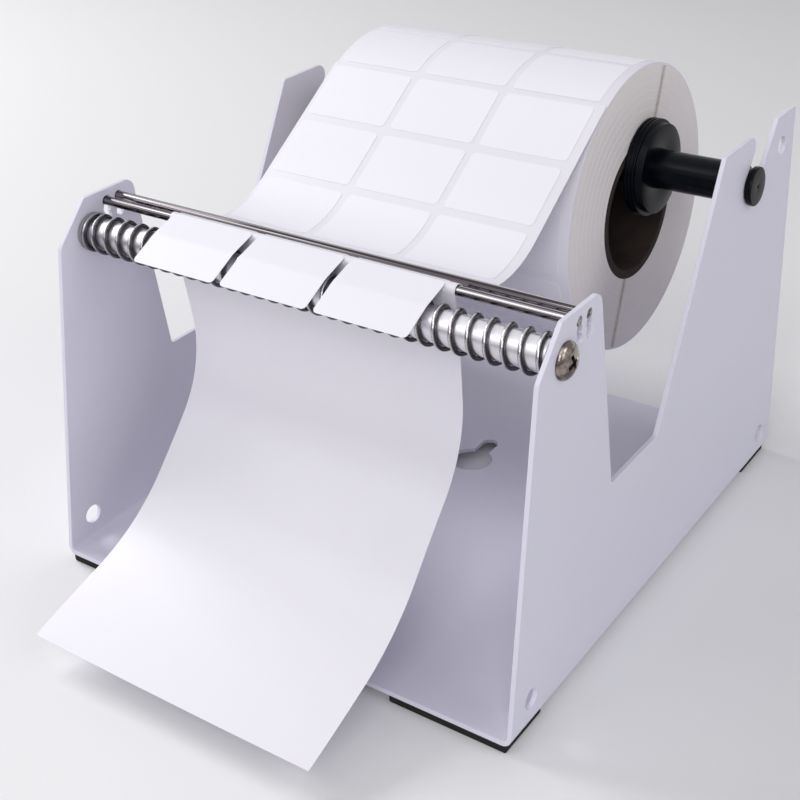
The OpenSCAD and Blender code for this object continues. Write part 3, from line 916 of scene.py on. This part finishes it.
def flat_paper(name: str, width: float, length: float, low: float, high: float, corner: float,
               across: int, down: int,
               lift: Callable[[float, float], float] = lambda u, v: 0.0) -> Piece:
    """Makes a thin flat sheet with round corners, X across and Y along.

    Args:
        name: The object's name.
        width: Its width.
        length: Its length.
        low: Height of its underside.
        high: Height of its top.
        corner: Radius of its corners.
        across: Number of cells across.
        down: Number of cells along.
        lift: Rise of the sheet at a place from -1 to 1 across and a run along it.

    Returns:
        The sheet.
    """
    steps = CORNER_STEPS if corner > 0 else 0
    near = [corner * (1 - math.cos(math.pi / 2 * i / CORNER_STEPS)) for i in range(steps)]
    middle = [corner + (length - 2 * corner) * i / down for i in range(down + 1)]
    rows = near + middle + [length - v for v in reversed(near)]
    points: list = []
    for z in (low, high):
        for v in rows:
            edge = max(0.0, corner - min(v, length - v))
            half = width / 2 - (corner - math.sqrt(max(0.0, corner * corner - edge * edge)))
            for i in range(across + 1):
                u = 2 * i / across - 1
                points.append((u * half, v, z + lift(u, v)))
    wide, layer = across + 1, len(rows) * (across + 1)
    faces: list = []
    for r in range(len(rows) - 1):
        for i in range(across):
            a = r * wide + i
            faces.append((a, a + wide, a + wide + 1, a + 1))
            faces.append((layer + a, layer + a + 1, layer + a + wide + 1, layer + a + wide))
    rim = list(range(wide)) + [r * wide + across for r in range(1, len(rows))]
    rim += [(len(rows) - 1) * wide + i for i in range(across - 1, -1, -1)]
    rim += [r * wide for r in range(len(rows) - 2, 0, -1)]
    for a, b in zip(rim, rim[1:] + rim[:1]):
        faces.append((a, b, layer + b, layer + a))
    return piece_from(name, points, faces)


# ---------------------------------------------------------------- sub-assemblies


@dataclass
class SheetFrame:
    """The bent sheet frame and its four rubber pads."""

    edge: float = 0.25 * MM
    pad_edge: float = 0.6 * MM
    flat_within: float = 0.5
    sharp_over: float = 50.0

    def build(self) -> None:
        """Makes the frame and its pads."""
        self.eased_copy("side_frame", "frame_sheet", self.edge, COAT)
        for end in ("front", "rear"):
            for side in Side:
                corner = f"{end}_{side.word}"
                self.eased_copy(f"foot_{corner}", f"pad_{corner}", self.pad_edge, RUBBER)

    def eased_copy(self, node: str, name: str, width: float, finish: Finish) -> None:
        """Makes a piece from a CAD node, with its triangles joined and its edges rounded.

        Args:
            node: The CAD node.
            name: The piece's name.
            width: Width of the rounding, in metres.
            finish: The piece's finish.
        """
        piece = new_object(name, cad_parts[node].data.copy())
        with opened(piece.data) as work:
            bmesh.ops.remove_doubles(work, verts=work.verts, dist=SAME_PLACE)
            bmesh.ops.dissolve_limit(work, angle_limit=math.radians(self.flat_within),
                                     verts=work.verts, edges=work.edges)
        if piece.data.has_custom_normals:
            piece.data.attributes.remove(piece.data.attributes["custom_normal"])
        shade(piece.data)
        bevel = piece.modifiers.new("edge", "BEVEL")
        bevel.width = width
        bevel.segments = 2
        bevel.limit_method = "ANGLE"
        bevel.angle_limit = math.radians(self.sharp_over)
        bevel.harden_normals = True
        apply_modifiers(piece)
        finish_piece(piece, finish, "frame", node)


@dataclass
class SpringRoller:
    """The front roller: axle, tube, bushes, the spring wound on it, and its two screws."""

    wire_r: float = 0.7 * MM
    coil_clear: float = 0.1 * MM
    pitch: float = 5.41 * MM
    closed: float = 150.0
    ramp: float = 60.0
    middle_turn: float = 66.0
    step: float = 9.0
    ease: float = 0.15 * MM
    tube_wall: float = 0.8 * MM
    bore_gap: float = 0.05 * MM
    spigot_in: float = 0.82 * MM
    flange_t: float = 1.2 * MM
    shank: float = 2.48 * MM
    head_r: float = 5.5 * MM
    head_h: float = 2.8 * MM
    head_rim: float = 0.35 * MM
    head_edge: float = 0.1 * MM
    dome_power: float = 0.9
    recess: float = 6.2 * MM
    recess_w: float = 1.5 * MM
    recess_depth: float = 1.6 * MM
    recess_turn: float = 20.0
    recess_taper: float = 0.55
    cutter_over: float = 0.6 * MM

    def build(self) -> None:
        """Makes every piece of the roller."""
        axis = centre_of("roller_tube")
        x0, x1 = span("roller_tube")
        tube_r = radius_of("roller_tube")
        section = eased(stepped(tube_r - self.tube_wall, (x0, x1), (tube_r,)), self.ease)
        finish_piece(lathe("roller_sleeve", axis, section), TUBE, "roller", "roller_tube")
        core = stepped(0.0, span("roller_axle"), (radius_of("roller_axle"),))
        finish_piece(lathe("roller_core_axle", axis, core, turns=48), AXLE, "frame", "roller_axle")
        for side in Side:
            self.bush(side, axis, tube_r)
            self.screw(side, axis)
        self.spring(axis, x0, x1, tube_r + self.coil_clear + self.wire_r)

    def bush(self, side: Side, axis: Vector, tube_r: float) -> None:
        """Makes one flanged bush.

        Args:
            side: The side that it is on.
            axis: A point on the roller's axis.
            tube_r: Radius of the tube that it sits in.
        """
        node = f"roller_bush_{side.word}"
        inner, outer = span(node, side)
        step = outer - side.value * self.flange_t
        section = stepped(radius_of("roller_axle") + self.bore_gap, (inner, step, outer),
                          (tube_r - self.spigot_in, radius_of(node)))
        piece = lathe(f"bush_{side.word}", axis, eased(section, self.ease))
        finish_piece(piece, BUSH, "roller", node)

    def spring(self, axis: Vector, x0: float, x1: float, radius: float) -> None:
        """Makes the spring as one unbroken wire, with its end turns closed against the flanges.

        Args:
            axis: A point on the roller's axis.
            x0: The left end.
            x1: The right end.
            radius: Radius of the wire's middle line.
        """
        half = (x1 - x0) / 2 - self.wire_r
        free = 360 * half / self.pitch - self.ramp / 2
        reach = free + self.ramp + self.closed
        points = []
        for i in range(-round(reach / self.step), round(reach / self.step) + 1):
            a = i * self.step
            over = min(max(abs(a) - free, 0.0), self.ramp)
            run = self.pitch / 360 * (min(abs(a), free) + over - over * over / (2 * self.ramp))
            turn = math.radians(self.middle_turn + a)
            points.append(Vector(((x0 + x1) / 2 + math.copysign(run, a),
                                  axis.y + radius * math.cos(turn),
                                  axis.z + radius * math.sin(turn))))
        # The light colour is a painted highlight on the wire's crest, and the near-black tint is
        # painted dark reflection on its flanks
        steel = RubbedWire("spring_steel", (0.62, 0.60, 0.62), (0.09, 0.082, 0.09), 0.16, 0.04,
                           metallic=1.0, axis=(axis.y, axis.z), crest=radius + self.wire_r)
        piece = new_object("spring_wire", bpy.data.meshes.new("spring_wire"))
        spread_along(piece, wire_tree(), points, Wire_radius=self.wire_r, Sides=20,
                     Material=steel.material())
        finish_piece(piece, steel, "roller", "roller_spring")

    def screw(self, side: Side, axis: Vector) -> None:
        """Makes one domed screw with a tapered cross recess.

        Args:
            side: The side that it is on.
            axis: A point on the roller's axis.
        """
        node = f"roller_screw_{side.word}"
        inner, outer = span(node, side)
        out = side.value
        face = outer - out * self.head_h
        section = stepped(0.0, (inner, face), (self.shank,))[:-1]
        section.append((face, self.head_r - self.head_edge))
        for i in range(DOME_STEPS + 1):
            t = math.pi / 2 * i / DOME_STEPS
            rise = self.head_rim + (self.head_h - self.head_rim) * math.sin(t)
            section.append((face + out * rise, self.head_r * math.cos(t) ** self.dome_power))
        section[-1] = (section[-1][0], 0.0)
        piece = lathe(f"screw_{side.word}", axis, section, turns=64)
        cutter = self.cross(face + out * self.head_h, out, axis)
        cut = piece.modifiers.new("recess", "BOOLEAN")
        cut.operation = "DIFFERENCE"
        cut.solver = "EXACT"
        cut.object = cutter
        apply_modifiers(piece)
        bpy.data.objects.remove(cutter)
        crisp(piece)
        finish_piece(piece, NICKEL, "frame", node)

    def cross(self, top: float, out: int, axis: Vector) -> Piece:
        """Makes the tapered cross that cuts the recess, as one star-shaped prism.

        Args:
            top: X of the head's top.
            out: Sign of the way out.
            axis: A point on the roller's axis.

        Returns:
            The cutter.
        """
        outline: list[Point2] = []
        long, half = self.recess / 2, self.recess_w / 2
        for quarter in range(4):
            a = math.radians(90 * quarter + self.recess_turn)
            for x, y in ((long, -half), (long, half), (half, half)):
                outline.append((x * math.cos(a) - y * math.sin(a),
                                x * math.sin(a) + y * math.cos(a)))
        count = len(outline)
        ends = ((self.cutter_over, 1), (-self.recess_depth, self.recess_taper))
        points = [(top + out * rise, axis.y + share * y, axis.z + share * z)
                  for rise, share in ends for y, z in outline]
        faces: list = [tuple(range(count)), tuple(range(2 * count - 1, count - 1, -1))]
        faces += [(i, (i + 1) % count, count + (i + 1) % count, count + i) for i in range(count)]
        return piece_from("cross_cutter", points, faces, smooth=False)


@dataclass
class GuideRods:
    """The two bright rods that the web is threaded round."""

    ease: float = 0.8 * MM

    def build(self) -> None:
        """Makes both rods with eased ends."""
        for name in ("front", "rear"):
            node = f"guide_rod_{name}"
            section = eased(stepped(0.0, span(node), (radius_of(node),)), self.ease)
            piece = lathe(f"rod_{name}", centre_of(node), section, turns=64)
            finish_piece(piece, ROD, f"{name}_rod", node)


@dataclass
class RollShaft:
    """The black shaft with its two ends, and the two side stops that slide on it."""

    bore: float = 4 * MM
    ease: float = 0.35 * MM
    plug: float = 3.98 * MM
    neck: float = 5.6 * MM
    cap_t: float = 2 * MM
    cap_ease: float = 0.5 * MM
    dimple: float = 0.6 * MM
    slide_gap: float = 0.05 * MM
    flange_t: float = 3.5 * MM
    boss_r: float = 15.25 * MM
    groove: float = 0.5 * MM
    groove_places: Point2 = (0.25, 0.6)
    stop_ease: float = 0.2 * MM

    def build(self) -> None:
        """Makes the shaft, its ends and its stops."""
        axis = centre_of("shaft_tube")
        section = stepped(self.bore, span("shaft_tube"), (radius_of("shaft_tube"),))
        piece = lathe("shaft_sleeve", axis, eased(section, self.ease))
        finish_piece(piece, BLACK, "shaft", "shaft_tube")
        for side in Side:
            self.end(side, axis, span("shaft_tube", side)[1])
            self.stop(side, axis)

    def end(self, side: Side, axis: Vector, face: float) -> None:
        """Makes the plug, neck and cap at one end.

        Args:
            side: The side that it is on.
            axis: A point on the shaft's axis.
            face: X of the tube's end.
        """
        node = f"shaft_end_{side.word}"
        inner, outer = span(node, side)
        back = outer - side.value * self.cap_t
        section = stepped(0.0, (inner, face, back, outer), (self.plug, self.neck, radius_of(node)))
        section[-1:] = [(outer, self.dimple), (outer - side.value * self.dimple, 0.0)]
        piece = lathe(f"cap_{side.word}", axis, eased(section, self.cap_ease))
        finish_piece(piece, BLACK, "shaft", node)

    def stop(self, side: Side, axis: Vector) -> None:
        """Makes one side stop, with a grooved rim and a plain raised boss.

        Args:
            side: The side that it is on.
            axis: A point on the shaft's axis.
        """
        node = f"hub_{side.word}"
        inner, outer = span(node, side)
        out = side.value
        rim, bore = radius_of(node), radius_of("shaft_tube") + self.slide_gap
        foot = rim - self.groove
        places, radii = [inner], []
        for share in self.groove_places:
            near = inner + out * self.flange_t * share
            places += [near, near + out * self.groove]
            radii += [rim, foot]
        places += [inner + out * self.flange_t, outer]
        section = stepped(bore, places, radii + [rim, self.boss_r])
        piece = lathe(f"stop_{side.word}", axis, eased(section, self.stop_ease, steps=2))
        finish_piece(piece, BLACK, f"{side.word}_stop", node)


@dataclass
class LabelRoll:
    """The wound roll on its board core, with the labels of its outer turn."""

    path: WebPath
    labels: "LabelSet"
    core_wall: float = 3 * MM
    core_ease: float = 0.25 * MM
    core_gap: float = 0.02 * MM
    turns_shown: int = 44
    turn_gap: float = 0.06 * MM
    outer_edge: float = 0.2 * MM
    unevenness: float = 0.012 * MM

    def build(self) -> None:
        """Makes the core, the wound paper and the labels of the outer turn."""
        axis = centre_of("roll_core")
        x0, x1 = span("roll_core")
        core_r = radius_of("roll_core")
        section = eased(stepped(core_r - self.core_wall, (x0, x1), (core_r,)), self.core_ease)
        finish_piece(lathe("core_ring", axis, section, turns=128), SHADED_BOARD, "roll", "roll_core")
        wound = WoundPaper("roll_paper", (0.83, 0.78, 0.77), (0.90, 0.86, 0.85), 0.7, 0.05,
                           grain_depth=0.05 * MM, axis=(axis.y, axis.z),
                           outside=self.path.roll_r, outer_color=LINER.color)
        piece = lathe("wound_paper", axis, self.section(x0, x1, core_r), turns=160)
        finish_piece(piece, wound, "roll", "label_roll")
        whole = 2 * math.pi * self.path.roll_r
        rows = int((whole - self.path.row_gap) / self.path.row_pitch)
        first = whole - self.path.row_gap / 2 - self.path.label_l
        self.labels.lay("roll_label_rows", as_space(self.path.on_roll()), rows, first, 0.0,
                        "roll", "roll_labels")

    def section(self, x0: float, x1: float, core_r: float) -> list[Point2]:
        """Section of the wound paper, whose turns stand out unevenly on both faces.

        Args:
            x0: The left face.
            x1: The right face.
            core_r: Radius of the core that it is wound on.

        Returns:
            Points (x, radius) in order.
        """
        inner, outer = core_r + self.core_gap, self.path.roll_r
        left, right = [], []
        for i in range(self.turns_shown):
            # Two waves out of step, so that the turns don't seem to repeat
            wave = (math.sin(i * 2.4) + math.sin(i * 5.1 + 1.0)) / 2
            lift = self.unevenness * wave - self.unevenness
            r0, r1 = (inner + (outer - inner) * n / self.turns_shown for n in (i, i + 1))
            for r in (r0, r1 - self.turn_gap):
                right.append((x1 + lift, r))
                left.append((x0 - lift, r))
        edge = [(x1 - self.outer_edge, outer), (x0 + self.outer_edge, outer)]
        return right + edge + left[::-1]


@dataclass
class LabelSet:
    """Three columns of labels with round corners."""

    width: float = 32 * MM
    length: float = 22 * MM
    thick: float = 0.12 * MM
    corner: float = 1.5 * MM
    column_pitch: float = 34.6 * MM
    columns: int = 3
    row_pitch: float = 25 * MM

    def lay(self, name: str, route: list[Vector], rows: int, first: float, base: float,
            body: str, node: str) -> Piece:
        """Lays rows of labels along a route, counted back from the first.

        Args:
            name: The piece's name.
            route: The route.
            rows: Number of rows.
            first: Run of the first row's start.
            base: Height of the labels' underside over the route.
            body: The body that they move with.
            node: The CAD node that they replace.

        Returns:
            The labels as one piece.
        """
        piece = flat_paper(name, self.width, self.length, base, base + self.thick, self.corner,
                           across=8, down=48)
        spread_along(piece, paper_tree(), route, Rows=rows, Row_pitch=-self.row_pitch,
                     First_row=first, Columns=self.columns, Column_pitch=self.column_pitch,
                     First_column=span("web_labels")[0] + self.width / 2,
                     Material=LABEL.material())
        finish_piece(piece, LABEL, body, node)
        return piece


@dataclass
class Web:
    """The liner on its whole way, the labels on it and the row that has been peeled."""

    path: WebPath
    labels: LabelSet
    edge_lift: float = 0.8 * MM
    twist: float = 3 * MM
    fall_start: float = 105 * MM
    glue: float = 0.01 * MM

    def hang(self, length: float) -> Callable[[float, float], float]:
        """Gives the hanging part of the liner its slight twist and its lifted edges.

        Args:
            length: The liner's whole length.

        Returns:
            The rise at a place across and a run along the liner.
        """
        def rise(u: float, v: float) -> float:
            """Rise at one place."""
            share = max(0.0, (v - self.fall_start) / (length - self.fall_start))
            turned = self.twist * u * math.sin(math.pi * share) ** 2
            return turned + self.edge_lift * u * u * share ** 3

        return rise

    def build(self) -> None:
        """Makes the liner and both sets of labels."""
        liner_path = self.path.liner()
        route = as_space(liner_path)
        length = run_lengths(liner_path)[-1]
        x0, x1 = span("liner_strip")
        half = self.path.liner_t / 2
        width = x1 - x0
        liner = flat_paper("liner", width, length, -half, half, corner=0.0, across=12, down=420,
                           lift=self.hang(length))
        spread_along(liner, paper_tree(), route, Rows=1, Row_pitch=0.0, First_row=0.0, Columns=1,
                     Column_pitch=0.0, First_column=(x0 + x1) / 2, Material=LINER.material())
        finish_piece(liner, LINER, "frame", "liner_strip")
        stuck = self.labels.lay("web_label_rows", route, self.path.web_rows,
                                self.path.rows_end - self.path.label_l, half + self.glue,
                                "frame", "web_labels")
        peeled_route = as_space(self.path.peeled())
        peeled = self.labels.lay("peeled_label_row", peeled_route, 1, 0.0,
                                 -self.labels.thick / 2, "frame", "peeled_labels")


# ---------------------------------------------------------------- studio


@dataclass
class Studio:
    """Camera, pale floor, white surround and soft lamps.

    The camera's place counts Y from the frame's front lip.
    """

    place: Point3 = (0.240945, -0.255508, 0.285707)
    right: Point3 = (0.825739, 0.563023, -0.034062)
    down: Point3 = (0.214464, -0.369241, -0.904249)
    ahead: Point3 = (-0.521690, 0.739369, -0.425645)
    lens: float = 63.26
    sensor: float = 36.0
    shift: Point2 = (-0.0172, -0.1421)
    floor_half: float = 3.0
    floor_color: Color = (0.90, 0.90, 0.91)
    card_color: Color = (0.03, 0.03, 0.035)
    soft_color: Color = (0.93, 0.92, 1.0)
    soft_strength: float = 0.19
    white_color: Color = (0.97, 0.98, 1.0)

    def build_camera(self) -> None:
        """Sets up the camera at the photograph's viewpoint."""
        data = bpy.data.cameras.new("view")
        data.lens = self.lens
        data.sensor_width = self.sensor
        data.shift_x, data.shift_y = self.shift
        data.clip_start = 0.01
        camera = new_object("view", data)
        turn = Matrix((self.right, [-v for v in self.down], [-v for v in self.ahead])).transposed()
        lip = Vector((0.0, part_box("side_frame")[0].y, 0.0))
        camera.matrix_world = Matrix.Translation(lip + Vector(self.place)) @ turn.to_4x4()
        bpy.context.scene.camera = camera

    def build(self) -> None:
        """Lays the floor and sets the lamps and the surround."""
        bpy.context.scene.view_settings.view_transform = "Standard"
        half = self.floor_half
        corners = [(-half, -half, 0), (half, -half, 0), (half, half, 0), (-half, half, 0)]
        floor = piece_from("floor", corners, [(0, 1, 2, 3)])
        floor.data.materials.append(self.plain("floor_pale", self.floor_color, roughness=0.8))
        self.surround()
        self.lamp("strip", (-0.85, -0.8, 1.0), (1.3, 0.4), 2.8, (-0.85, 0.0, 0.0))
        self.lamp("front", (0.55, -1.15, 0.85), (0.7, 0.7), 6.8)
        self.lamp("high", (0.0, -0.7, 1.2), (0.7, 0.7), 1.2)
        self.lamp("left", (-1.2, 0.0, 0.9), (0.7, 0.7), 12.0)
        self.lamp("side", (1.1, 0.3, 1.1), (0.6, 0.6), 2.3)
        self.lamp("right", (1.3, -0.3, 0.6), (0.6, 0.6), 1.9)
        self.card("card_back", (-1.4, 1.3, 0.35), (1.4, 0.5))
        self.card("card_front", (-0.9, -1.3, 0.3), (1.5, 0.4))

    def plain(self, name: str, color: Color, roughness: float) -> bpy.types.Material:
        """Makes a plain matt material.

        Args:
            name: Its name.
            color: Its colour.
            roughness: Its roughness, from 0 to 1.

        Returns:
            The material.
        """
        made = bpy.data.materials.new(name)
        made.use_nodes = True
        Bench(made.node_tree).feed(made.node_tree.nodes["Principled BSDF"], {
            "Base Color": (*color, 1.0), "Roughness": roughness,
        })
        return made

    def surround(self) -> None:
        """Lights the scene softly, and shows white to the camera and to reflections."""
        world = bpy.data.worlds.new("surround")
        bpy.context.scene.world = world
        world.use_nodes = True
        bench = Bench(world.node_tree)
        soft = world.node_tree.nodes["Background"]
        bench.feed(soft, {"Color": (*self.soft_color, 1.0), "Strength": self.soft_strength})
        white = bench.node("ShaderNodeBackground", {"Color": (*self.white_color, 1.0)})
        rays = bench.node("ShaderNodeLightPath").outputs
        seen = bench.math("MAXIMUM", rays["Is Camera Ray"], rays["Is Transmission Ray"])
        seen = bench.math("MAXIMUM", seen, rays["Is Glossy Ray"])
        mix = bench.node("ShaderNodeMixShader", {0: seen, 1: soft.outputs[0], 2: white.outputs[0]})
        bench.feed(world.node_tree.nodes["World Output"], {"Surface": mix.outputs[0]})

    def card(self, name: str, place: Point3, size: Point2) -> None:
        """Stands a dark card near the set that only reflections see.

        Args:
            name: The card's name.
            place: Its middle.
            size: Its width and height.
        """
        side = Vector((place[1], -place[0], 0.0)).normalized() * size[0] / 2
        up = Vector((0.0, 0.0, size[1] / 2))
        middle = Vector(place)
        corners = [middle - side - up, middle + side - up, middle + side + up, middle - side + up]
        piece = piece_from(name, corners, [(0, 1, 2, 3)])
        piece.data.materials.append(self.plain(name, self.card_color, roughness=0.5))
        piece.visible_camera = piece.visible_diffuse = piece.visible_shadow = False

    def lamp(self, name: str, place: Point3, size: Point2, power: float,
             aim: Point3 = (0.0, 0.0, 0.07)) -> None:
        """Adds a soft lamp.

        Args:
            name: The lamp's name.
            place: Where it stands.
            size: Its width and height.
            power: Its power in watts.
            aim: The point that it faces.
        """
        data = bpy.data.lights.new(name, "AREA")
        data.shape = "RECTANGLE"
        data.size, data.size_y = size
        data.energy = power
        made = new_object(name, data)
        made.location = place
        made.rotation_euler = (Vector(aim) - Vector(place)).to_track_quat("-Z", "Y").to_euler()


def main() -> None:
    """Builds the machine in order and reports each piece."""
    logging.basicConfig(level=logging.INFO, format="%(name)s: %(message)s")
    studio = Studio()
    studio.build_camera()
    path = WebPath()
    labels = LabelSet()
    SheetFrame().build()
    SpringRoller().build()
    GuideRods().build()
    RollShaft().build()
    Web(path, labels).build()
    LabelRoll(path, labels).build()
    studio.build()


if __name__ == "__main__":
    main()
